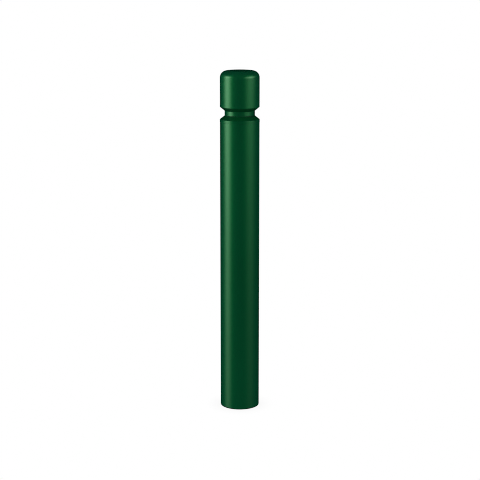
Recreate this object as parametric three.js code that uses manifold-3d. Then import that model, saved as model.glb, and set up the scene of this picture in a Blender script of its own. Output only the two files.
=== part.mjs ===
// Street bollard, 114.3 mm diameter and 1000 mm tall, with a groove below its round-edged head.
// The post is a steel tube with a turned collar in its top. It drops over a base plate anchored to
// the ground, and a central tie rod pulls it down. The head screws onto the collar and hides the
// clamp nut. Threads are modelled as plain cylinders.
// Millimetres, +Z up, origin on the ground at the middle of the base.

import * as THREE from "three";
import { mergeVertices } from "three/addons/utils/BufferGeometryUtils.js";
import Module from "manifold-3d";

// ---- post tube ----
const TOTAL_H = 1000;
const POST_R = 57.15; // 114.3 mm standard tube
const TUBE_WALL = 3.6;
const TUBE_BOTTOM = 2; // stands on the foot seal
const TUBE_TOP = 852;

// ---- base ----
const BASE_R = 52.7;
const BASE_T = 10;
const ANCHOR_COUNT = 3;
const ANCHOR_PCD = 70;
const ANCHOR_HOLE_R = 6.5; // for M12 anchors
const BOSS_R = 17;
const BOSS_TOP = 42;
const BOSS_CHAMFER = 2;
const RING_INNER_R = 48.5;
const RING_TOP = 60;
const RING_CHAMFER_W = 3;
const RING_CHAMFER_H = 4;
const FOOT_INNER_R = 53.0;
const FOOT_OUTER_R = 56.9;

// ---- collar and groove ----
const COLLAR_BOTTOM = 812;
const COLLAR_SLEEVE_R = 53.2; // fits in the tube
const COLLAR_INNER_R = 46;
const COLLAR_BORE_R = 27;
const COLLAR_CONE_BOTTOM = COLLAR_BOTTOM + 34; // inside, the wide bore narrows to the small one
const COLLAR_CONE_TOP = COLLAR_BOTTOM + 48;
const SHOULDER_R = 57.5; // the collar's band stands a little proud of the tube
const SHOULDER_Z = 860; // lower edge of the groove
const LAND_Z = 871; // the collar's flat land, where the head seats
const NECK_R = 43.7; // floor of the groove
const NECK_TOP_Z = 885;
const HEAD_EDGE_Z = 896; // upper edge of the groove

// ---- head thread, at pitch-line radii ----
const THREAD_R = 35.0;
const THREAD_CLEARANCE = 0.4;
const THREAD_TOP = 900;
const HEAD_BORE_R = THREAD_R + THREAD_CLEARANCE;
const HEAD_BORE_TOP = 894;

// ---- head ----
const SEAL_T = 1;
const SEAL_INNER_R = 36.8;
const SEAL_OUTER_R = 43.2;
const HEAD_BOTTOM = LAND_Z + SEAL_T;
const HEAD_FILLET = 20;
const HOLLOW_R = 50.5;
const HOLLOW_FILLET = 15;
const HOLLOW_CONE_TOP = 908;
const ROOF_T = 8;
const ROOF_Z = TOTAL_H - ROOF_T;

// ---- lock screw, along Y in the +Y side of the neck ----
const LOCK_Z = (HEAD_BOTTOM + NECK_TOP_Z) / 2;
const LOCK_R = 3.0;
const LOCK_HOLE_R = LOCK_R + 0.25;
const LOCK_TIP = 36.8;
const LOCK_END = 42.8;
const LOCK_KEY_AF = 3.0; // across flats
const LOCK_KEY_DEPTH = 3.0;
const HOLE_OVERCUT = 3; // cutters run past the surfaces they open
const KEY_OVERCUT = 2;

// ---- M16 clamping stack ----
const ROD_R = 7.95;
const ROD_HOLE_R = 8.2; // in the base plate, boss and nuts
const ROD_BOTTOM = 4;
const ROD_TOP = 942;
const ROD_CHAMFER = 1.2;
const NUT_AF = 24; // across flats
const NUT_H = 13;
const JAM_NUT_H = 8;
const CLAMP_R = 33;
const CLAMP_T = 8;
const CLAMP_CHAMFER = 1;
const CLAMP_HOLE_R = 8.9; // in the clamp plate and flat washer
const WASHER_R = 15;
const WASHER_T = 3;
const SPRING_INNER_R = 8.4;
const SPRING_OUTER_R = 13.0;
const SPRING_T = 3.6;
const SPRING_HALF_GAP = 0.09; // half the split, radians
const CLAMP_TOP = THREAD_TOP + CLAMP_T;
const WASHER_TOP = CLAMP_TOP + WASHER_T;
const SPRING_TOP = WASHER_TOP + SPRING_T;

// ---- facets ----
const BIG = 64; // round a large circle
const SMALL = 32; // round a bolt-sized circle
const HOLE = 24; // round a drilled hole
const HEAD_FILLET_STEPS = 8;
const HOLLOW_FILLET_STEPS = 4;

// ---- materials ----
const standard = (color, roughness, metalness) =>
  new THREE.MeshStandardMaterial({ color, roughness, metalness });
const paint = () => standard(0x073f22, 0.38, 0.0);
const zinc = () => standard(0xb9bcbb, 0.42, 0.9);
const stainless = () => standard(0xc4c5c6, 0.3, 1.0);
const rubber = () => standard(0x141414, 0.85, 0.0);
const greenRubber = () => standard(0x083a20, 0.75, 0.0);

// ---- outlines ----

const toVectors = (pairs) => pairs.map(([x, y]) => new THREE.Vector2(x, y));

// [x, y] pairs on an arc from one angle to another, in equal steps.
function arc(x, y, radius, start, end, steps) {
  const pairs = [];
  for (let i = 0; i <= steps; i++) {
    const angle = start + ((end - start) * i) / steps;
    pairs.push([x + radius * Math.cos(angle), y + radius * Math.sin(angle)]);
  }
  return pairs;
}

// A full circle, without repeating its first point.
const circle = (radius, segments, x = 0, y = 0) =>
  toVectors(arc(x, y, radius, 0, 2 * Math.PI, segments).slice(0, -1));

const disc = (radius, segments) => new THREE.Shape(circle(radius, segments));

const hexagon = (acrossFlats) => disc(acrossFlats / Math.sqrt(3), 6);

function addHole(shape, radius, segments, x, y) {
  shape.holes.push(new THREE.Path(circle(radius, segments, x, y)));
}

// ---- bodies ----

// A body of revolution about Z from [radius, height] pairs.
// A profile that doesn't start and end on the axis is closed here.
function turned(profile, segments = BIG) {
  const points = toVectors(profile);
  const endsOnAxis = profile[0][0] === 0 && profile.at(-1)[0] === 0;
  if (!endsOnAxis) points.push(points[0].clone());
  return new THREE.LatheGeometry(points, segments).rotateX(Math.PI / 2);
}

// A ring of rectangular section.
function ring(innerR, outerR, bottom, top, segments) {
  const profile = [
    [innerR, bottom],
    [outerR, bottom],
    [outerR, top],
    [innerR, top],
  ];
  return turned(profile, segments);
}

// A ring whose top outer edge is chamfered by [width, height].
function chamferedRing(innerR, outerR, bottom, top, [width, height], segments) {
  const profile = [
    [innerR, bottom],
    [outerR, bottom],
    [outerR, top - height],
    [outerR - width, top],
    [innerR, top],
  ];
  return turned(profile, segments);
}

const extrude = (shape, depth) =>
  new THREE.ExtrudeGeometry(shape, { depth, bevelEnabled: false });

// A flat plate between two heights.
const plate = (shape, bottom, top) => extrude(shape, top - bottom).translate(0, 0, bottom);

// A straight bar along +Y at the lock screw's height.
const lockBar = (shape, start, end) =>
  extrude(shape, end - start).rotateX(-Math.PI / 2).translate(0, start, LOCK_Z);

function nut(bottom, height) {
  const shape = hexagon(NUT_AF);
  addHole(shape, ROD_HOLE_R, SMALL);
  return plate(shape, bottom, bottom + height);
}

// ---- solid cutting ----
const wasm = await Module();
wasm.setup();

// Welds a geometry's seams and turns it into a solid.
function toSolid(geometry) {
  geometry.deleteAttribute("normal");
  geometry.deleteAttribute("uv");
  const welded = mergeVertices(geometry, 1e-3);
  return new wasm.Manifold(
    new wasm.Mesh({
      numProp: 3,
      vertProperties: new Float32Array(welded.attributes.position.array),
      triVerts: new Uint32Array(welded.index.array),
    }),
  );
}

// One geometry with another cut out of it.
function cut(body, cutter) {
  const mesh = toSolid(body).subtract(toSolid(cutter)).getMesh();
  const geometry = new THREE.BufferGeometry();
  const positions = new Float32Array(mesh.vertProperties);
  geometry.setAttribute("position", new THREE.BufferAttribute(positions, 3));
  geometry.setIndex(new THREE.BufferAttribute(new Uint32Array(mesh.triVerts), 1));
  geometry.computeVertexNormals();
  return geometry;
}

// ---- pieces ----

// Steel disc on the ground, with anchor holes and a middle hole that clears the rod.
function basePlate() {
  const shape = disc(BASE_R, BIG);
  const pitchR = ANCHOR_PCD / 2;
  for (let i = 0; i < ANCHOR_COUNT; i++) {
    const angle = Math.PI / 2 + (i * 2 * Math.PI) / ANCHOR_COUNT;
    addHole(shape, ANCHOR_HOLE_R, HOLE, pitchR * Math.cos(angle), pitchR * Math.sin(angle));
  }
  addHole(shape, ROD_HOLE_R, SMALL);
  return plate(shape, 0, BASE_T);
}

// Short tube on the plate; the post drops over it.
function locatingRing() {
  const chamfer = [RING_CHAMFER_W, RING_CHAMFER_H];
  return chamferedRing(RING_INNER_R, BASE_R, BASE_T, RING_TOP, chamfer);
}

// Boss in the middle of the plate, round the rod.
function rodBoss() {
  const chamfer = [BOSS_CHAMFER, BOSS_CHAMFER];
  return chamferedRing(ROD_HOLE_R, BOSS_R, BASE_T, BOSS_TOP, chamfer, SMALL);
}

// A sleeve in the tube, the shoulder and lower face of the groove, and the head's male thread.
function shoulderCollar() {
  return turned([
    [COLLAR_INNER_R, COLLAR_BOTTOM],
    [COLLAR_SLEEVE_R, COLLAR_BOTTOM],
    [COLLAR_SLEEVE_R, TUBE_TOP],
    [SHOULDER_R, TUBE_TOP],
    [SHOULDER_R, SHOULDER_Z],
    [NECK_R, LAND_Z],
    [THREAD_R, LAND_Z],
    [THREAD_R, THREAD_TOP],
    [COLLAR_BORE_R, THREAD_TOP],
    [COLLAR_BORE_R, COLLAR_CONE_TOP],
    [COLLAR_INNER_R, COLLAR_CONE_BOTTOM],
  ]);
}

function tieRod() {
  const profile = [
    [0, ROD_BOTTOM],
    [ROD_R - ROD_CHAMFER, ROD_BOTTOM],
    [ROD_R, ROD_BOTTOM + ROD_CHAMFER],
    [ROD_R, ROD_TOP - ROD_CHAMFER],
    [ROD_R - ROD_CHAMFER, ROD_TOP],
    [0, ROD_TOP],
  ];
  return turned(profile, SMALL);
}

// Thick round plate that spans the collar's bore and carries the nut's pull.
function clampPlate() {
  const chamfer = [CLAMP_CHAMFER, CLAMP_CHAMFER];
  return chamferedRing(CLAMP_HOLE_R, CLAMP_R, THREAD_TOP, CLAMP_TOP, chamfer);
}

// Split ring, clamped flat, with its gap on +X.
function springWasher() {
  const start = SPRING_HALF_GAP;
  const end = 2 * Math.PI - SPRING_HALF_GAP;
  const outline = [
    ...arc(0, 0, SPRING_OUTER_R, start, end, SMALL),
    ...arc(0, 0, SPRING_INNER_R, end, start, SMALL),
  ];
  return plate(new THREE.Shape(toVectors(outline)), WASHER_TOP, SPRING_TOP);
}

// Hollow casting, with the lock screw's hole through its neck.
function headCap() {
  const quarter = Math.PI / 2;
  const hollowX = HOLLOW_R - HOLLOW_FILLET;
  const hollowZ = ROOF_Z - HOLLOW_FILLET;
  const edgeX = POST_R - HEAD_FILLET;
  const edgeZ = TOTAL_H - HEAD_FILLET;
  const body = turned([
    // Inside, from the roof down to the threaded bore.
    [0, ROOF_Z],
    ...arc(hollowX, hollowZ, HOLLOW_FILLET, quarter, 0, HOLLOW_FILLET_STEPS),
    [HOLLOW_R, HOLLOW_CONE_TOP],
    [HEAD_BORE_R, HEAD_BORE_TOP],
    [HEAD_BORE_R, HEAD_BOTTOM],
    // Outside, from the neck up to the flat top.
    [NECK_R, HEAD_BOTTOM],
    [NECK_R, NECK_TOP_Z],
    [POST_R, HEAD_EDGE_Z],
    ...arc(edgeX, edgeZ, HEAD_FILLET, 0, quarter, HEAD_FILLET_STEPS),
    [0, TOTAL_H],
  ]);
  const holeStart = HEAD_BORE_R - HOLE_OVERCUT;
  const holeEnd = NECK_R + HOLE_OVERCUT;
  return cut(body, lockBar(disc(LOCK_HOLE_R, HOLE), holeStart, holeEnd));
}

// Grub screw with a hexagon socket in its outer end.
function lockScrew() {
  const bar = lockBar(disc(LOCK_R, HOLE), LOCK_TIP, LOCK_END);
  const keyStart = LOCK_END - LOCK_KEY_DEPTH;
  return cut(bar, lockBar(hexagon(LOCK_KEY_AF), keyStart, LOCK_END + KEY_OVERCUT));
}

// ---- assembly ----
const group = new THREE.Group();

function add(name, geometry, material) {
  const mesh = new THREE.Mesh(geometry, material);
  mesh.name = name;
  group.add(mesh);
}

add("base_plate", basePlate(), zinc());
add("locating_ring", locatingRing(), zinc());
add("rod_boss", rodBoss(), zinc());
// Between the tube's rim and the ground.
add("foot_seal", ring(FOOT_INNER_R, FOOT_OUTER_R, 0, TUBE_BOTTOM), rubber());

add("body_tube", ring(POST_R - TUBE_WALL, POST_R, TUBE_BOTTOM, TUBE_TOP), paint());
add("shoulder_collar", shoulderCollar(), paint());

add("tie_rod", tieRod(), zinc());
add("jam_nut", nut(BOSS_TOP, JAM_NUT_H), zinc());
add("clamp_plate", clampPlate(), zinc());
add("flat_washer", ring(CLAMP_HOLE_R, WASHER_R, CLAMP_TOP, WASHER_TOP, SMALL), zinc());
add("spring_washer", springWasher(), zinc());
add("clamp_nut", nut(SPRING_TOP, NUT_H), zinc());

// Flat ring under the head.
add("head_seal", ring(SEAL_INNER_R, SEAL_OUTER_R, LAND_Z, HEAD_BOTTOM), greenRubber());
add("head_cap", headCap(), paint());
add("lock_screw", lockScrew(), stainless());

export default group;
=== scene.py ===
"""Street bollard: dark green post with a groove below its round-edged, screw-on head.

The post stands upright on Z with its foot on the floor at z = 0. The camera looks from -Y, and the
lock screw lies along Y on the far side. Every visible piece is rebuilt here with rounded edges,
real threads and procedural materials, in the CAD frame.
Lengths in the shape code are millimetres; the meshes, materials and stage are in metres.
"""

import math
from collections import namedtuple
from dataclasses import dataclass

import bpy
import numpy as np
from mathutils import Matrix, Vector


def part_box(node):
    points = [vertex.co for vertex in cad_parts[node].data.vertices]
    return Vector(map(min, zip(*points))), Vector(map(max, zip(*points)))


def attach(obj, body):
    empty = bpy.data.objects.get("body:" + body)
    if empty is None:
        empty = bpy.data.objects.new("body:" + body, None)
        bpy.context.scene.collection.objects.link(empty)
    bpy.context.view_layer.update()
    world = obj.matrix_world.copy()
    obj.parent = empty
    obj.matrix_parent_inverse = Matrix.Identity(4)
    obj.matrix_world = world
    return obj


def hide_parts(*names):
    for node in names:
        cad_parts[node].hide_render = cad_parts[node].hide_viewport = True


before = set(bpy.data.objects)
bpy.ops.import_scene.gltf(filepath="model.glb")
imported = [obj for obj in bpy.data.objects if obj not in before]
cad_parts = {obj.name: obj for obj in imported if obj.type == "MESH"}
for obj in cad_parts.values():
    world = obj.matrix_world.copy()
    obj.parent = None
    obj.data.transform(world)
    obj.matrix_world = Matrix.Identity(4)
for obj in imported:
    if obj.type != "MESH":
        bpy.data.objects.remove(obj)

MM = 0.001
TAU = 2 * math.pi


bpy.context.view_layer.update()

# ---------------------------------------------------------------- sizes, from the CAD frame
Box = namedtuple("Box", "x0 y0 z0 x1 y1 z1")


def box_mm(piece):
    low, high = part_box(piece)
    return Box(*(c * 1000 for c in (*low, *high)))


TUBE = box_mm("body_tube")
COLLAR = box_mm("shoulder_collar")
HEAD = box_mm("head_cap")
SEAL = box_mm("head_seal")
ROD = box_mm("tie_rod")
BASE = box_mm("base_plate")
RING = box_mm("locating_ring")
BOSS = box_mm("rod_boss")
FOOT = box_mm("foot_seal")
DISC = box_mm("clamp_plate")
WASHER = box_mm("flat_washer")
SPRING = box_mm("spring_washer")
TOP_NUT = box_mm("clamp_nut")
LOW_NUT = box_mm("jam_nut")
LOCK = box_mm("lock_screw")

# the post's outline, from the tube up
POST_R = TUBE.x1
TUBE_INNER_R = POST_R - 3.6
TUBE_TOP = TUBE.z1
SHOULDER_R = COLLAR.x1
SHOULDER_Z = TUBE_TOP + 8
LAND_Z = SEAL.z0  # flat ring of the collar that carries the seal
NECK_R = 43.7
NECK_BOTTOM = SEAL.z1
NECK_TOP = LAND_Z + 14
HEAD_EDGE = LAND_Z + 25  # where the upper slope of the groove meets the head's side
TOP_Z = HEAD.z1
LOCK_Z = (LOCK.z0 + LOCK.z1) / 2

# Thread profiles: (offset along the axis, share of the ridge's height).
# Head and collar: right hand, with the lead that couples the head_turn and head_rise joints.
LEAD = 6.0
MALE_ROOT, MALE_CREST = 33.8, 36.2
FEMALE_ROOT, FEMALE_CREST = 36.6, 34.2
MALE_Z = LAND_Z + 1.9
TRAPEZOID = [(-1.7, 0), (-1.24, 0.84), (-0.98, 1), (0.98, 1), (1.24, 0.84), (1.7, 0)]
# M16 rod, nuts and boss
M16_PITCH = 2.0
M16_PROFILE = [(-0.88, 0), (-0.16, 1), (0.16, 1), (0.88, 0)]
ROD_ROOT, ROD_CREST = 6.85, 7.95
NUT_ROOT, NUT_CREST = 8.05, 7.05
ROD_THREAD_Z = ROD.z0 + 3.0
# M6 lock screw
M6_ROOT, M6_CREST = 2.42, 2.93
M6_PROFILE = [(-0.44, 0), (-0.08, 1), (0.08, 1), (0.44, 0)]

# columns round a large and a small turned piece
ROUND = 192
FINE = 96


# ---------------------------------------------------------------- outlines and threads
def rounded(corners, step=9.0):
    """Rounds the corners of a closed outline, with an arc point at least every step degrees.

    corners: (r, z, fillet radius). Returns (r, z) points.
    """
    points = []
    for i, (r, z, fillet) in enumerate(corners):
        if fillet <= 0:
            points.append((r, z))
            continue
        corner = np.array((r, z), float)
        back = np.array(corners[i - 1][:2], float) - corner
        ahead = np.array(corners[(i + 1) % len(corners)][:2], float) - corner
        back_len, ahead_len = np.linalg.norm(back), np.linalg.norm(ahead)
        back, ahead = back / back_len, ahead / ahead_len
        half = math.acos(max(-1, min(1, float(back @ ahead)))) / 2
        # a fillet too large for its edges shrinks to fit
        reach = min(fillet / math.tan(half), 0.499 * back_len, 0.499 * ahead_len)
        fillet = reach * math.tan(half)
        middle = (back + ahead) / np.linalg.norm(back + ahead)
        centre = corner + middle * fillet / math.sin(half)
        start = corner + back * reach - centre
        end = corner + ahead * reach - centre
        start_angle = math.atan2(start[1], start[0])
        end_angle = math.atan2(end[1], end[0])
        turn = (end_angle - start_angle + math.pi) % TAU - math.pi
        steps = max(2, int(math.ceil(abs(math.degrees(turn)) / step)))
        for j in range(steps + 1):
            angle = start_angle + turn * j / steps
            points.append(
                (centre[0] + fillet * math.cos(angle), centre[1] + fillet * math.sin(angle))
            )
    return points


def smoothstep(x):
    x = max(0.0, min(1.0, x))
    return x * x * (3 - 2 * x)


@dataclass
class Thread:
    """One helical ridge of whole turns on a wall, fading in and out over fade turns."""

    z: float
    pitch: float
    turns: int
    root: float
    crest: float
    profile: list
    fade: float = 0.3

    def ridge(self, turn):
        """The profile's (r, z) points at a place given in turns from the start."""
        amount = smoothstep(turn / self.fade) * smoothstep((self.turns - turn) / self.fade)
        return [
            (self.root + (self.crest - self.root) * height * amount, self.z + self.pitch * turn + dz)
            for dz, height in self.profile
        ]


def m16_inner(lowest, turns):
    """Inner M16 thread that starts at or above lowest, half a pitch out of step with the rod's."""
    phase = ROD_THREAD_Z + 1
    z = math.ceil((lowest - phase) / M16_PITCH) * M16_PITCH + phase
    return Thread(z, M16_PITCH, turns, NUT_ROOT, NUT_CREST, M16_PROFILE, fade=0.25)


def hexagon_r(across_flats):
    """Radius of a hexagon as a function of the angle, with a corner at angle 0."""
    return lambda a: (across_flats / 2) / math.cos((a % (math.pi / 3)) - math.pi / 6)


# ---------------------------------------------------------------- mesh building
def add_object(name, data):
    ob = bpy.data.objects.new(name, data)
    bpy.context.scene.collection.objects.link(ob)
    return ob


def outward(verts, faces):
    """Turns every face round if the skin encloses a negative volume."""
    volume = 0.0
    for face in faces:
        first = verts[face[0]]
        for i in range(1, len(face) - 1):
            volume += float(first @ np.cross(verts[face[i]], verts[face[i + 1]]))
    return faces if volume > 0 else [face[::-1] for face in faces]


def mesh_object(name, verts, faces):
    verts = np.array(verts)
    mesh = bpy.data.meshes.new(name)
    mesh.from_pydata((verts * MM).tolist(), [], outward(verts, faces))
    mesh.update()
    return add_object(name, mesh)


def revolved(name, columns, outline, poles=False):
    """A closed skin round the Z axis.

    outline lists (r, z) points, where both may be functions of the angle, and Threads, each
    rising in z along the list. The last point joins the first, unless both ends are poles.
    """
    verts, grid, faces = [], [], []

    def add(r, z, angle):
        r, z = (v(angle) if callable(v) else v for v in (r, z))
        verts.append((r * math.cos(angle), r * math.sin(angle), z))
        return len(verts) - 1

    for j in range(columns):
        angle = TAU * j / columns
        column = []
        for k, part in enumerate(outline):
            if isinstance(part, Thread):
                # column 0 holds both the start and the end of the helix: one ridge more
                ridges = [part.ridge(i + j / columns) for i in range(part.turns + (j == 0))]
                column.append([[add(r, z, angle) for r, z in ridge] for ridge in ridges])
            elif poles and k in (0, len(outline) - 1):
                column.append(add(0.0, part[1], angle) if j == 0 else grid[0][k])
            else:
                column.append(add(*part, angle))
        grid.append(column)

    def chain(column, leading):
        """The vertices that pair off with the neighbour column's, and the unpaired ones.

        Unpaired vertices are keyed by the index in the chain that they come before.
        """
        ids, unpaired = [], {}
        for part, item in zip(outline, column):
            if not isinstance(part, Thread):
                ids.append(item)
                continue
            spare = len(item) > part.turns
            skip = int(spare and not leading)
            if skip:
                unpaired[len(ids)] = item[0]
            ids.extend(v for ridge in item[skip : skip + part.turns] for v in ridge)
            if spare and leading:
                unpaired[len(ids)] = item[-1]
        return ids, unpaired

    for j in range(columns):
        near, near_extra = chain(grid[j], leading=True)
        far, far_extra = chain(grid[(j + 1) % columns], leading=False)
        for i in range(len(near) - poles):
            k = (i + 1) % len(near)
            edge = [near[i], *near_extra.get(i + 1, []), near[k]]
            opposite = [far[i], *far_extra.get(i + 1, []), far[k]]
            face = list(dict.fromkeys(edge + opposite[::-1]))
            if len(face) > 2:
                faces.append(face)
    return mesh_object(name, verts, faces)


def ring_corners(inner, outer, box, fillets):
    """Section of a flat ring as tall as box.

    fillets: inner bottom, outer bottom, outer top, inner top.
    """
    places = [(inner, box.z0), (outer, box.z0), (outer, box.z1), (inner, box.z1)]
    return [(r, z, fillet) for (r, z), fillet in zip(places, fillets)]


def turned_ring(name, inner, outer, box, fillets, step=9.0, columns=ROUND):
    return revolved(name, columns, rounded(ring_corners(inner, outer, box, fillets), step))


def swept_faces(sections, points, closed):
    """Quads between neighbouring sections of points vertices each."""
    faces = []
    for j in range(sections if closed else sections - 1):
        here, there = j * points, (j + 1) % sections * points
        for i in range(points):
            k = (i + 1) % points
            faces.append([here + i, here + k, there + k, there + i])
    return faces


def place(ob, move, along_y=False):
    """Moves a mesh built round the Z axis, in its vertices; along_y first turns +Z to +Y."""
    co = np.zeros(len(ob.data.vertices) * 3)
    ob.data.vertices.foreach_get("co", co)
    co = co.reshape(-1, 3)
    if along_y:
        co = np.stack([-co[:, 0], co[:, 2], co[:, 1]], 1)
    co += np.array(move) * MM
    ob.data.vertices.foreach_set("co", co.ravel())
    ob.data.update()


def cut_hole(ob, columns, outline, move, along_y=False):
    """Cuts a turned solid out of ob."""
    tool = revolved("drill", columns, outline, poles=True)
    place(tool, move, along_y)
    cut = ob.modifiers.new("cut", "BOOLEAN")
    cut.operation, cut.solver, cut.object = "DIFFERENCE", "EXACT", tool
    bpy.context.view_layer.update()
    graph = bpy.context.evaluated_depsgraph_get()
    mesh = bpy.data.meshes.new_from_object(ob.evaluated_get(graph))
    ob.modifiers.clear()
    old = ob.data
    ob.data = mesh
    bpy.data.meshes.remove(old)
    bpy.data.objects.remove(tool)
    mesh.name = ob.name


def shade(mesh, angle):
    """Smooth shading with big faces deciding the normals, and sharp edges above the angle."""
    face_count, loop_count = len(mesh.polygons), len(mesh.loops)
    normals = np.zeros(face_count * 3)
    areas = np.zeros(face_count)
    totals = np.zeros(face_count, int)
    loop_verts = np.zeros(loop_count, int)
    mesh.polygons.foreach_get("normal", normals)
    mesh.polygons.foreach_get("area", areas)
    mesh.polygons.foreach_get("loop_total", totals)
    mesh.loops.foreach_get("vertex_index", loop_verts)
    normals = normals.reshape(-1, 3)
    loop_faces = np.repeat(np.arange(face_count), totals)
    # loops sorted by vertex, and where each vertex's run of loops starts
    order = np.argsort(loop_verts, kind="stable")
    starts = np.searchsorted(loop_verts[order], np.arange(len(mesh.vertices) + 1))
    limit = math.cos(math.radians(angle))
    result = np.zeros((loop_count, 3))
    for v in range(len(mesh.vertices)):
        loops = order[starts[v] : starts[v + 1]]
        if not len(loops):
            continue
        around = loop_faces[loops]
        normal = normals[around]
        near = (normal @ normal.T) > limit
        result[loops] = near @ (normal * (areas[around][:, None] + 1e-12))
    length = np.linalg.norm(result, axis=1, keepdims=True)
    flat = length[:, 0] < 1e-12
    result[flat] = normals[loop_faces[flat]]
    length[flat] = 1
    result /= length
    mesh.polygons.foreach_set("use_smooth", np.ones(face_count, bool))
    mesh.normals_split_custom_set(result.tolist())


def finish_piece(ob, piece, body, materials, choose=lambda r, z: 0, angle=34.0):
    """Materials, shading and frame data. piece is the CAD piece that ob replaces, if any.

    choose gives a face's material index from the radius and height of its centre.
    """
    for material in materials:
        ob.data.materials.append(material)
    for face in ob.data.polygons:
        x, y, z = (c * 1000 for c in face.center)
        face.material_index = choose(math.hypot(x, y), z)
    shade(ob.data, angle)
    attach(ob, body)
    if piece:
        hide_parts(piece)


def finish_steel(ob, piece, angle=34.0):
    finish_piece(ob, piece, "post", [ZINC], angle=angle)


# ---------------------------------------------------------------- materials
class NodeTree:
    """Builds the node tree of a material or world. Inputs may be sockets or plain values."""

    def __init__(self, owner, output="ShaderNodeOutputMaterial"):
        owner.use_nodes = True
        self.owner, self.tree = owner, owner.node_tree
        self.tree.nodes.clear()
        self.out = self.new(output)

    def new(self, kind, inputs=None, **settings):
        node = self.tree.nodes.new(kind)
        for name, value in settings.items():
            setattr(node, name, value)
        self.feed(node, inputs or {})
        return node

    def feed(self, node, inputs):
        for name, value in inputs.items():
            if isinstance(value, bpy.types.NodeSocket):
                self.tree.links.new(value, node.inputs[name])
            else:
                node.inputs[name].default_value = value

    def show(self, shader):
        self.feed(self.out, {"Surface": shader.outputs[0]})

    def math(self, operation, *values):
        inputs = dict(enumerate(values))
        return self.new("ShaderNodeMath", inputs, operation=operation).outputs[0]

    def split(self, vector):
        return self.new("ShaderNodeSeparateXYZ", {0: vector}).outputs

    def remap(self, value, from_min, from_max, to_min=0.0, to_max=1.0):
        inputs = {
            "From Min": from_min,
            "From Max": from_max,
            "To Min": to_min,
            "To Max": to_max,
            "Value": value,
        }
        return self.new("ShaderNodeMapRange", inputs).outputs["Result"]


class Surface(NodeTree):
    """A material with one Principled shader, textured in object coordinates (metres)."""

    def __init__(self, name):
        super().__init__(bpy.data.materials.new(name))
        self.shader = self.new("ShaderNodeBsdfPrincipled")
        self.show(self.shader)
        self.coords = self.new("ShaderNodeTexCoord").outputs["Object"]

    def noise(self, scale, detail=2.0, roughness=0.5, stretch=None):
        point = self.coords
        if stretch:
            mapping = self.new("ShaderNodeMapping", {"Scale": stretch, "Vector": point})
            point = mapping.outputs[0]
        inputs = {"Scale": scale, "Detail": detail, "Roughness": roughness, "Vector": point}
        return self.new("ShaderNodeTexNoise", inputs).outputs["Fac"]

    def patchy(self, low, high, **noise):
        """A value that wanders between low and high."""
        return self.remap(self.noise(**noise), 0.25, 0.75, low, high)

    def ramp(self, value, stops):
        """stops: (position, colour)."""
        node = self.new("ShaderNodeValToRGB", {"Fac": value})
        elements = node.color_ramp.elements
        for element, (position, colour) in zip(elements, (stops[0], stops[-1])):
            element.position, element.color = position, (*colour, 1)
        for position, colour in stops[1:-1]:
            elements.new(position).color = (*colour, 1)
        return node.outputs["Color"]

    def bump(self, height, distance, strength, under=None):
        inputs = {"Strength": strength, "Distance": distance, "Height": height}
        if under is not None:
            inputs["Normal"] = under
        return self.new("ShaderNodeBump", inputs).outputs["Normal"]

    def finish(self, **inputs):
        self.feed(self.shader, {name.replace("_", " "): v for name, v in inputs.items()})
        return self.owner


# Painted shade and sheen of the paint by height, up the groove: as painted shade, the shoulder band
# is a little darker, both slopes of the groove are less blue and the upper slope is darker; the
# slopes are also less shiny, the upper slope almost without sheen.
# columns: height (mm), red and green factor, blue factor, sheen
PAINTED_SHADE_AND_SHEEN_BY_HEIGHT = [
    (TUBE_TOP - 4, 1.0, 1.0, 1.0),
    (TUBE_TOP + 1, 0.95, 0.95, 0.93),
    (SHOULDER_Z + 0.2, 0.95, 0.95, 0.93),
    (SHOULDER_Z + 1.6, 1.0, 0.66, 0.66),
    (LAND_Z - 1.2, 1.0, 0.64, 0.66),
    (LAND_Z + 1.0, 1.0, 1.0, 0.97),
    (NECK_TOP - 0.8, 1.0, 1.0, 0.97),
    (NECK_TOP + 1.2, 0.82, 0.52, 0.05),
    (HEAD_EDGE - 1.4, 0.85, 0.55, 0.07),
    (HEAD_EDGE + 0.4, 1.0, 1.0, 1.0),
]


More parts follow.
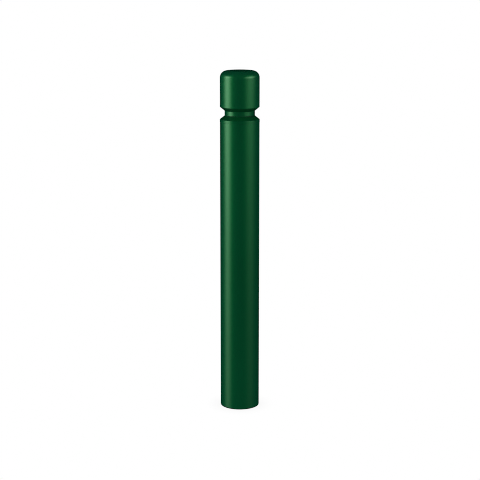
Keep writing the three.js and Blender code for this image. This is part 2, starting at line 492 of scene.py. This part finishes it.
def powder_coat():
    """Satin green powder coat: fine orange peel under a smoother clear coat, tone drifting, painted
    shade in the groove.
    """
    m = Surface("green_powder_coat")
    drift = m.noise(scale=9, stretch=(1, 1, 0.35))
    grain = m.noise(scale=420, detail=3.0, roughness=0.6)
    drift = m.remap(drift, from_min=0.3, from_max=0.7, to_max=0.55)
    grain_share = 0.45
    tone = m.ramp(
        m.math("MULTIPLY_ADD", grain, grain_share, drift),
        [
            (0.1, (0.0000, 0.0670, 0.0300)),
            (0.5, (0.0000, 0.0750, 0.0340)),
            (0.9, (0.0002, 0.0830, 0.0380)),
        ],
    )
    height = m.split(m.coords)["Z"]
    ramp_z0, ramp_z1 = (TUBE_TOP - 6) * MM, (HEAD_EDGE + 8) * MM

    def by_height(stops):
        shares = [((z * MM - ramp_z0) / (ramp_z1 - ramp_z0), colour) for z, colour in stops]
        return m.ramp(m.remap(height, ramp_z0, ramp_z1), shares)

    # painted shade: darker, less blue paint on the shoulder band and the groove's slopes, multiplied
    # into the tone
    painted_groove_shade = by_height([(z, (red, red, blue)) for z, red, blue, _ in PAINTED_SHADE_AND_SHEEN_BY_HEIGHT])
    # sockets 6 and 7 are the colours A and B, output 2 is the mixed colour
    tone_with_painted_shade = m.new(
        "ShaderNodeMix",
        {"Factor": 1.0, 6: tone, 7: painted_groove_shade},
        data_type="RGBA",
        blend_type="MULTIPLY",
    ).outputs[2]
    sheen = by_height([(z, (share,) * 3) for z, _, _, share in PAINTED_SHADE_AND_SHEEN_BY_HEIGHT])
    peel = m.bump(m.noise(scale=520, roughness=0.45), distance=0.00005, strength=0.55)
    normal = m.bump(m.noise(scale=1900), distance=0.000012, strength=0.5, under=peel)
    return m.finish(
        Base_Color=tone_with_painted_shade,
        Roughness=m.patchy(0.38, 0.43, scale=60, detail=3.0, roughness=0.6),
        IOR=1.8,
        Specular_IOR_Level=sheen,
        Specular_Tint=(0.0, 0.82, 0.12, 1),
        Coat_Weight=sheen,
        Coat_Roughness=m.patchy(0.19, 0.23, scale=34, roughness=0.6),
        Coat_IOR=1.5,
        Normal=normal,
        Coat_Normal=normal,
    )


def zinc(name, blotch_scale, base, roughness):
    """Zinc-coated steel: grey metal with faint bluish and straw-coloured blotches."""
    m = Surface(name)
    bluish, straw = (0.86, 0.90, 0.98), (1.10, 1.06, 0.94)
    tone = m.ramp(
        m.noise(scale=blotch_scale, detail=4.0, roughness=0.6),
        [
            (0.25, tuple(c * f for c, f in zip(base, bluish))),
            (0.5, base),
            (0.75, tuple(c * f for c, f in zip(base, straw))),
        ],
    )
    scratches = m.noise(scale=700, roughness=0.6)
    return m.finish(
        Base_Color=tone,
        Metallic=1.0,
        Roughness=m.patchy(*roughness, scale=150, detail=3.0, roughness=0.65),
        Normal=m.bump(scratches, distance=0.00002, strength=0.5),
    )


def stainless():
    """Turned stainless steel: the grain is finest along Y, the screw's own axis."""
    m = Surface("stainless_steel")
    tone = m.noise(scale=600, detail=3.0, roughness=0.6)
    return m.finish(
        Base_Color=m.ramp(tone, [(0.2, (0.50, 0.49, 0.47)), (0.8, (0.62, 0.61, 0.59))]),
        Metallic=1.0,
        Roughness=m.patchy(0.22, 0.34, scale=900, roughness=0.6, stretch=(1, 6, 1)),
        Normal=m.bump(m.noise(scale=1500, stretch=(1, 8, 1)), distance=0.00001, strength=0.4),
    )


def rubber(name, dark, light):
    """Matt rubber, with a fine moulded grain and a little bloom."""
    m = Surface(name)
    bloom = m.noise(scale=80, detail=3.0, roughness=0.6)
    return m.finish(
        Base_Color=m.ramp(bloom, [(0.3, dark), (0.8, light)]),
        Roughness=m.patchy(0.72, 0.9, scale=300),
        Specular_IOR_Level=0.35,
        Normal=m.bump(m.noise(scale=1400, roughness=0.6), distance=0.00004, strength=0.5),
    )


def weld_metal():
    """Weld bead: blotchy dull metal with a scaly surface."""
    m = Surface("weld_metal")
    blotches = m.noise(scale=160, detail=4.0, roughness=0.65)
    tone = m.ramp(blotches, [(0.3, (0.24, 0.23, 0.22)), (0.7, (0.42, 0.42, 0.41))])
    roughness = m.patchy(0.42, 0.62, scale=260, detail=3.0, roughness=0.6)
    scales = m.noise(scale=900, detail=3.0, roughness=0.6)
    return m.finish(
        Base_Color=tone,
        Metallic=1.0,
        Roughness=roughness,
        Normal=m.bump(scales, distance=0.00008, strength=0.6),
    )


PAINT = powder_coat()
ZINC = zinc("zinc_plate", blotch_scale=38, base=(0.50, 0.51, 0.51), roughness=(0.30, 0.46))
GALVANISED = zinc(
    "galvanised_inside", blotch_scale=70, base=(0.40, 0.41, 0.42), roughness=(0.42, 0.6)
)
STAINLESS = stainless()
RUBBER = rubber("seal_rubber", dark=(0.0085, 0.0085, 0.0085), light=(0.018, 0.018, 0.019))
GREEN_RUBBER = rubber("green_rubber", dark=(0.0010, 0.062, 0.026), light=(0.0024, 0.072, 0.031))
WELD = weld_metal()


# ---------------------------------------------------------------- the post's outside
def build_tube():
    """Outer face painted, inside galvanised, the cut ends deburred."""
    finish_piece(
        turned_ring("tube", TUBE_INNER_R, POST_R, TUBE, (0.5, 0.9, 0.35, 0.4)),
        "body_tube",
        "post",
        [PAINT, GALVANISED],
        lambda r, z: int(r < POST_R - 1.4),
    )


def build_collar():
    """Skirt inside the tube, band, sloped shoulder, land for the seal, threaded spigot, bore."""
    skirt_r, skirt_inner_r, bore_r = 53.2, 46.0, 27.0
    top = COLLAR.z1
    # the last two corners only give the directions of the end fillets
    outside = rounded(
        [
            (skirt_inner_r, COLLAR.z0, 1.0),
            (skirt_r, COLLAR.z0, 1.6),
            (skirt_r, TUBE_TOP, 0.25),
            (SHOULDER_R, TUBE_TOP, 0.3),
            (SHOULDER_R, SHOULDER_Z, 1.1),
            (NECK_R, LAND_Z, 0.5),
            (MALE_ROOT, LAND_Z, 0),
            (skirt_inner_r, TUBE_TOP, 0),
        ]
    )[:-2]
    spigot_foot = [(MALE_ROOT + 0.25, LAND_Z), (MALE_ROOT, LAND_Z + 0.1)]
    thread = Thread(
        MALE_Z, LEAD, turns=4, root=MALE_ROOT, crest=MALE_CREST, profile=TRAPEZOID
    )
    inside = rounded(
        [
            (MALE_ROOT, top - 0.5, 0),
            (MALE_ROOT - 0.35, top - 0.15, 0),
            (MALE_ROOT - 0.8, top, 0.2),
            (bore_r, top, 0.9),
            (bore_r, SHOULDER_Z, 1.5),
            (skirt_inner_r, SHOULDER_Z - 14, 3.0),
            (skirt_inner_r, COLLAR.z0 + 6, 0),
        ]
    )
    finish_piece(
        revolved("collar", ROUND, outside + spigot_foot + [thread] + inside),
        "shoulder_collar",
        "post",
        [PAINT, ZINC],
        lambda r, z: 0 if r > NECK_R - 1.2 and z > TUBE_TOP - 0.2 else 1,
    )


def build_head():
    """Round-edged cap, upper slope of the groove, neck, female thread and hollow."""
    hollow_r, hollow_bottom, hollow_top = 50.5, 910, 992
    thread = Thread(
        MALE_Z + LEAD / 2,
        LEAD,
        turns=3,
        root=FEMALE_ROOT,
        crest=FEMALE_CREST,
        profile=TRAPEZOID,
    )
    outside = rounded(
        [
            (FEMALE_ROOT + 0.8, NECK_BOTTOM, 0),
            (NECK_R, NECK_BOTTOM, 0.6),
            (NECK_R, NECK_TOP, 0.9),
            (POST_R, HEAD_EDGE, 1.1),
            (POST_R, TOP_Z - 40, 0),
        ],
        step=6.0,
    )
    # the end corners of the crown and hollow only give the directions of their fillets
    crown = rounded([(POST_R, TOP_Z - 60, 0), (POST_R, TOP_Z, 20.0), (10, TOP_Z, 0)], step=3.6)
    hollow = rounded(
        [
            (10, hollow_top - 1, 0),
            (hollow_r, hollow_top, 15.0),
            (hollow_r, hollow_bottom, 4.0),
            (FEMALE_ROOT, thread.z + LEAD * thread.turns + 3.2, 1.0),
            (FEMALE_ROOT, NECK_BOTTOM + 8, 0),
        ],
        step=6.0,
    )
    # down the outside and up the inside, as the thread rises along the list
    skin = (
        [(0, TOP_Z), (16, TOP_Z), (30, TOP_Z)]
        + crown[-2:0:-1]
        + outside[::-1]
        + [(FEMALE_ROOT, NECK_BOTTOM + 0.8), (FEMALE_ROOT, NECK_BOTTOM + 1.4), thread]
        + hollow[-2:0:-1]
        + [(20, hollow_top), (0, hollow_top)]
    )
    head = revolved("head", ROUND, skin, poles=True)
    # hole for the lock screw, with a countersunk mouth
    start, end, hole_r = 33.5, NECK_R + 0.8, 3.06
    mouth = [(3.7, NECK_R - 0.05), (4.4, end)]
    hole = [(0, start), (hole_r, start), (hole_r, NECK_R - 0.75), *mouth, (0, end)]
    cut_hole(head, 32, hole, (0, 0, LOCK_Z), along_y=True)

    def head_material(r, z):
        inside = r < NECK_R - 1.6 or (z > NECK_TOP + 6 and r < hollow_r + 0.3)
        return int(inside and z < TOP_Z - 7.4)

    finish_piece(head, "head_cap", "head", [PAINT, ZINC], head_material)


build_tube()
build_collar()
build_head()

# ---------------------------------------------------------------- seals
neck_seal = turned_ring("neck_seal_ring", 36.9, 43.2, SEAL, (0.3, 0.45, 0.45, 0.3), step=18)
finish_piece(neck_seal, "head_seal", "riser", [GREEN_RUBBER])
foot_seal = turned_ring("foot_ring", 53.0, FOOT.x1, FOOT, (0.4, 0.5, 0.3, 0.3), step=15)
finish_piece(foot_seal, "foot_seal", "post", [RUBBER])


# ---------------------------------------------------------------- clamping stack inside
def hex_nut(name, piece, box):
    """Hexagon nut with flats facing Y, turned chamfers and an M16 thread."""
    z0, z1 = box.z0, box.z1
    across_flats = box.y1 * 2
    hexagon = hexagon_r(across_flats)
    face_r, mouth_r = across_flats / 2 - 0.35, 8.9
    slope = math.tan(math.radians(30))
    end_gap = 1.5
    thread = m16_inner(z0 + end_gap, turns=0)
    thread.turns = int((z1 - end_gap - thread.z) // M16_PITCH)
    outline = [
        (face_r, z0),
        (mouth_r, z0),
        (NUT_ROOT, z0 + 0.6),
        thread,
        (NUT_ROOT, z1 - 0.6),
        (mouth_r, z1),
        (face_r, z1),
        (hexagon, lambda a: z1 - (hexagon(a) - face_r) * slope),
        (hexagon, lambda a: z0 + (hexagon(a) - face_r) * slope),
    ]
    finish_steel(revolved(name, FINE, outline), piece, angle=24)


def threaded_rod():
    """Rod with a thread at each end and a plain shank."""
    low_turns, high_turns = 29, 34
    shank_r, shoulder_r, tip_r, tip_chamfer = 7.88, 7.8, 5.9, 1.2

    def rod_thread(z, turns):
        return Thread(z, M16_PITCH, turns, ROD_ROOT, ROD_CREST, M16_PROFILE, fade=0.4)

    room = ROD.z1 - 3.2 - M16_PITCH * high_turns - ROD_THREAD_Z
    high_z = ROD_THREAD_Z + M16_PITCH * math.floor(room / M16_PITCH)
    shank_z0 = ROD_THREAD_Z + M16_PITCH * low_turns + 1.6
    shank_z1 = high_z - 1.6
    outline = [
        (0, ROD.z0),
        (tip_r, ROD.z0),
        (ROD_ROOT, ROD.z0 + tip_chamfer),
        rod_thread(ROD_THREAD_Z, low_turns),
        (ROD_ROOT, shank_z0),
        (shoulder_r, shank_z0 + 1.2),
        (shank_r, shank_z0 + 1.6),
        (shank_r, shank_z1 - 1.6),
        (shoulder_r, shank_z1 - 1.2),
        (ROD_ROOT, shank_z1),
        rod_thread(high_z, high_turns),
        (ROD_ROOT, ROD.z1 - tip_chamfer),
        (tip_r, ROD.z1),
        (0, ROD.z1),
    ]
    finish_steel(revolved("threaded_rod", 48, outline, poles=True), "tie_rod", angle=30)


def split_washer():
    """Split spring washer, squeezed flat, with slanted ends and its gap at +X."""
    fillets = (0.35, 0.5, 0.5, 0.35)
    section = rounded(ring_corners(8.45, 13.0, SPRING, fillets), step=22)
    steps, points = 84, len(section)
    half_gap = math.radians(10.3 / 2)
    slant = math.radians(6)
    verts = []
    for j in range(steps + 1):
        angle = half_gap + (TAU - 2 * half_gap) * j / steps
        for r, z in section:
            share = (z - SPRING.z0) / (SPRING.z1 - SPRING.z0)
            lean = slant * (0.5 - share) if j in (0, steps) else 0
            verts.append((r * math.cos(angle + lean), r * math.sin(angle + lean), z))
    faces = swept_faces(steps + 1, points, closed=False)
    faces.append(list(range(points))[::-1])
    faces.append([steps * points + i for i in range(points)])
    finish_steel(mesh_object("split_washer", verts, faces), "spring_washer", angle=40)


hex_nut("top_nut", "clamp_nut", TOP_NUT)
hex_nut("lower_nut", "jam_nut", LOW_NUT)
threaded_rod()
disc = turned_ring("clamping_disc", 8.9, DISC.x1, DISC, (0.5, 1.2, 1.2, 0.5), step=15)
finish_steel(disc, "clamp_plate")
washer = turned_ring(
    "plain_washer", 8.7, 15, WASHER, (0.3, 0.9, 0.4, 0.5), step=18, columns=FINE
)
finish_steel(washer, "flat_washer")
split_washer()


# ---------------------------------------------------------------- base
RING_INNER_R = 48.5


def ground_plate():
    """Round plate with three chamfered holes on a circle, the first at +Y."""
    plate = turned_ring("ground_plate", 8.2, BASE.x1, BASE, (0.5, 0.9, 0.9, 0.5), step=15)
    holes, circle_r = 3, 35
    top = BASE.z1
    hole = [
        (0, -1), (7.5, -1), (7.1, 0), (6.5, 0.6),
        (6.5, top - 0.6), (7.1, top), (7.5, top + 1), (0, top + 1),
    ]
    for i in range(holes):
        angle = math.pi / 2 + i * TAU / holes
        cut_hole(plate, 48, hole, (circle_r * math.cos(angle), circle_r * math.sin(angle), 0))
    finish_steel(plate, "base_plate")


def centring_ring():
    """Upright ring on the plate, with a tapered lead-in at its outer top edge."""
    corners = [
        (RING_INNER_R, RING.z0, 0),
        (RING.x1, RING.z0, 0),
        (RING.x1, RING.z1 - 4, 1.5),
        (RING.x1 - 3, RING.z1, 0.5),
        (RING_INNER_R, RING.z1, 0.5),
    ]
    finish_steel(revolved("centring_ring", ROUND, rounded(corners, step=12)), "locating_ring")


def threaded_boss():
    """Threaded sleeve at the middle of the plate, for the rod."""
    mouth_r = 8.7
    bore = [
        (mouth_r, BOSS.z0),
        (NUT_ROOT, BOSS.z0 + 0.6),
        m16_inner(BOSS.z0 + 1.6, turns=14),
        (NUT_ROOT, BOSS.z1 - 0.6),
        (mouth_r, BOSS.z1),
    ]
    outside = rounded(
        [
            (9.2, BOSS.z1, 0),
            (BOSS.x1 - 2, BOSS.z1, 0.6),
            (BOSS.x1, BOSS.z1 - 2, 0.8),
            (BOSS.x1, BOSS.z0, 0),
        ],
        step=12,
    )
    finish_steel(revolved("threaded_boss", FINE, bore + outside), "rod_boss", angle=30)


def weld(name, wall_r, side, ripples):
    """Rippled fillet weld between the plate's top and a round wall.

    side is 1 outside the wall and -1 inside it.
    """
    plate_z = BASE.z1
    leg = 4.0
    root = 0.3  # how far the bead's back lies inside the wall
    columns, steps = 420, 8
    verts = []
    for j in range(columns):
        angle = TAU * j / columns
        wave = 0.5 + 0.5 * math.cos(angle * ripples + 0.9 * math.sin(angle * 7))
        uneven = 0.97 + 0.05 * math.sin(3 * angle + 1.1) + 0.03 * math.sin(11 * angle)
        size = leg * uneven
        section = [(-root, -0.25)]
        # from the toe on the plate to the toe on the wall
        for i in range(steps + 1):
            share = i / steps
            swell = 0.10 * math.sin(math.pi * share) * size * (0.7 + 0.6 * wave) * 0.7
            section.append((size * (1 - share) + swell, size * share + swell - 0.02))
        section.append((-root, size))
        for away, up in section:
            r = wall_r + side * away
            verts.append((r * math.cos(angle), r * math.sin(angle), plate_z + up))
    bead = mesh_object(name, verts, swept_faces(columns, steps + 3, closed=True))
    finish_piece(bead, None, "post", [WELD], angle=40)


ground_plate()
centring_ring()
threaded_boss()
weld("boss_weld", BOSS.x1, side=1, ripples=34)
weld("ring_weld", RING_INNER_R, side=-1, ripples=88)


# ---------------------------------------------------------------- lock screw
def lock_screw():
    """Set screw with a hexagon socket, built on Z and laid along +Y, socket outward."""
    tip, end = LOCK.y0, LOCK.y1
    thread = Thread(
        tip + 1.0, pitch=1.0, turns=4, root=M6_ROOT, crest=M6_CREST, profile=M6_PROFILE
    )
    socket = hexagon_r(3.0)
    outline = [
        (0, tip + 0.55),
        (0.7, tip + 0.35),
        (1.35, tip),
        (1.6, tip),
        (M6_ROOT, tip + 0.45),
        thread,
        (M6_ROOT, end - 0.45),
        (2.15, end),
        (1.95, end),
        (lambda a: socket(a) + 0.12, end),
        (socket, end - 0.15),
        (socket, end - 3.0),
        (0.8, end - 3.25),
        (0, end - 3.4),
    ]
    screw = revolved("set_screw", FINE, outline, poles=True)
    place(screw, (0, 0, LOCK_Z), along_y=True)
    finish_piece(screw, "lock_screw", "lock", [STAINLESS], angle=30)


lock_screw()


# ---------------------------------------------------------------- stage, in metres
def hide_from(ob, *rays):
    for kind in rays:
        setattr(ob, f"visible_{kind}", False)


def pale_floor():
    """Bright, near-white glowing floor with a faint painted contact shadow where the post stands on
    it.
    """
    mesh = bpy.data.meshes.new("floor")
    half = 30
    corners = [(-half, -half, 0), (half, -half, 0), (half, half, 0), (-half, half, 0)]
    mesh.from_pydata(corners, [], [(0, 1, 2, 3)])
    floor = add_object("floor", mesh)
    m = NodeTree(bpy.data.materials.new("pale_floor"))
    # painted contact shadow: ambient occlusion dims the floor's glow near the post
    painted_contact_shadow = m.new("ShaderNodeAmbientOcclusion", {"Distance": 0.05}, samples=12)
    glow = m.remap(painted_contact_shadow.outputs["AO"], from_min=0.0, from_max=1.0, to_min=0.86, to_max=1.0)
    m.show(m.new("ShaderNodeEmission", {"Strength": glow}))
    mesh.materials.append(m.owner)
    hide_from(floor, "diffuse", "glossy", "transmission", "shadow")


pale_floor()

# The softboxes and the fill stand on a turntable rig that faces the camera, so every side is lit
# as the front is.
rig = add_object("light_rig", None)
SOFTBOX_DISTANCE = 2.794


def softbox_material(name, stops):
    """Glow by height up the light, fading to nothing at both sides; otherwise clear."""
    m = NodeTree(bpy.data.materials.new(name))
    place_uv = m.split(m.new("ShaderNodeTexCoord").outputs["UV"])
    curve = m.new("ShaderNodeFloatCurve", {"Value": place_uv["Y"]})
    points = curve.mapping.curves[0].points
    z0, z1 = stops[0][0], stops[-1][0]
    peak = max(brightness for _, brightness in stops)
    shares = [((z - z0) / (z1 - z0), brightness / peak) for z, brightness in stops]
    points[0].location, points[-1].location = shares[0], shares[-1]
    for height, brightness in shares[1:-1]:
        points.new(height, brightness)
    for point in points:
        point.handle_type = "VECTOR"
    curve.mapping.update()
    # across: a raised cosine, sin^2(pi x)
    wave = m.math("SINE", m.math("MULTIPLY", place_uv["X"], math.pi))
    across = m.math("MULTIPLY", wave, wave)
    glow = m.math("MULTIPLY", curve.outputs[0], across)
    emission = m.new("ShaderNodeEmission", {"Strength": m.math("MULTIPLY", glow, peak)})
    clear = m.new("ShaderNodeBsdfTransparent")
    m.show(m.new("ShaderNodeAddShader", {0: emission.outputs[0], 1: clear.outputs[0]}))
    return m.owner


def softbox(name, azimuth, half_width, stops):
    """A tall curved soft light round the post, seen only as a sheen.

    azimuth and half_width are degrees; azimuth is from the viewer's side, positive to the right.
    stops: (height, brightness) up the light.
    """
    columns = 40
    mesh = bpy.data.meshes.new(name)
    verts = []
    for i in range(columns + 1):
        angle = math.radians(azimuth + half_width * (2 * i / columns - 1))
        x, y = math.sin(angle) * SOFTBOX_DISTANCE, -math.cos(angle) * SOFTBOX_DISTANCE
        verts += [(x, y, stops[0][0]), (x, y, stops[-1][0])]
    faces = [(2 * i, 2 * i + 2, 2 * i + 3, 2 * i + 1) for i in range(columns)]
    mesh.from_pydata(verts, [], faces)
    uv = mesh.uv_layers.new(name="UVMap")
    for loop in mesh.loops:
        column, top = divmod(loop.vertex_index, 2)
        uv.data[loop.index].uv = (column / columns, top)
    mesh.materials.append(softbox_material(name, stops))
    ob = add_object(name, mesh)
    ob.parent = rig
    hide_from(ob, "camera", "diffuse", "transmission", "shadow")


softbox(
    "softbox_left",
    azimuth=-75.5,
    half_width=31.8,
    stops=[
        (-1.40, 0.3), (-0.90, 0.43), (-0.80, 0.56), (-0.45, 0.68), (-0.04, 0.96), (0.26, 1.46),
        (0.46, 1.66), (0.67, 1.86), (0.92, 2.62), (1.80, 3.58), (2.57, 0),
    ],
)
softbox(
    "softbox_right",
    azimuth=64,
    half_width=42,
    stops=[
        (-1.40, 0.05), (-0.90, 0.07), (-0.80, 0.083), (-0.45, 0.11), (-0.04, 0.18),
        (0.26, 0.205), (0.46, 0.23), (0.67, 0.295), (0.92, 0.672), (1.47, 2.3), (1.91, 2.53),
        (2.57, 0),
    ],
)


def left_fill():
    """Soft diffuse light from the left."""
    light = bpy.data.lights.new("left_fill", "SUN")
    light.energy = 0.5
    light.angle = math.radians(60)
    sun = add_object("left_fill", light)
    shines_towards = Vector((0.95, 0.30, -0.15))
    sun.rotation_euler = shines_towards.to_track_quat("-Z", "Y").to_euler()
    hide_from(sun, "glossy")
    sun.parent = rig


def studio_world():
    """White to the camera; as a light, nearly even from all round; and no reflection."""
    world = bpy.data.worlds.new("studio")
    bpy.context.scene.world = world
    w = NodeTree(world, "ShaderNodeOutputWorld")
    white = (1, 1, 1, 1)
    path = w.new("ShaderNodeLightPath")
    seen = w.new("ShaderNodeBackground", {"Color": white})
    up = w.split(w.new("ShaderNodeTexCoord").outputs["Generated"])["Z"]
    strength = w.remap(up, from_min=-1.0, from_max=1.0, to_min=0.4325, to_max=0.5525)
    light = w.new("ShaderNodeBackground", {"Color": white, "Strength": strength})
    is_camera = path.outputs["Is Camera Ray"]
    shaders = {"Fac": is_camera, 1: light.outputs[0], 2: seen.outputs[0]}
    w.show(w.new("ShaderNodeMixShader", shaders))
    world.cycles_visibility.glossy = False


def add_camera():
    """Camera in front of the post, looking down a little; the rig turns to face it."""
    data = bpy.data.cameras.new("camera")
    data.sensor_width = 36
    data.lens = 98.9925
    data.clip_end = 200
    camera = add_object("camera", data)
    camera.location = (0.0007, -3.8, 1.2971)
    tilt_down = 11.791
    camera.rotation_euler = (math.radians(90 - tilt_down), 0, 0)
    bpy.context.scene.camera = camera
    face = rig.constraints.new("LOCKED_TRACK")
    face.target = camera
    face.track_axis = "TRACK_NEGATIVE_Y"
    face.lock_axis = "LOCK_Z"


left_fill()
studio_world()
add_camera()

scene = bpy.context.scene
scene.cycles.filter_width = 1.0
scene.view_settings.view_transform = "Standard"
scene.view_settings.look = "None"
scene.view_settings.exposure = 0
scene.view_settings.gamma = 1
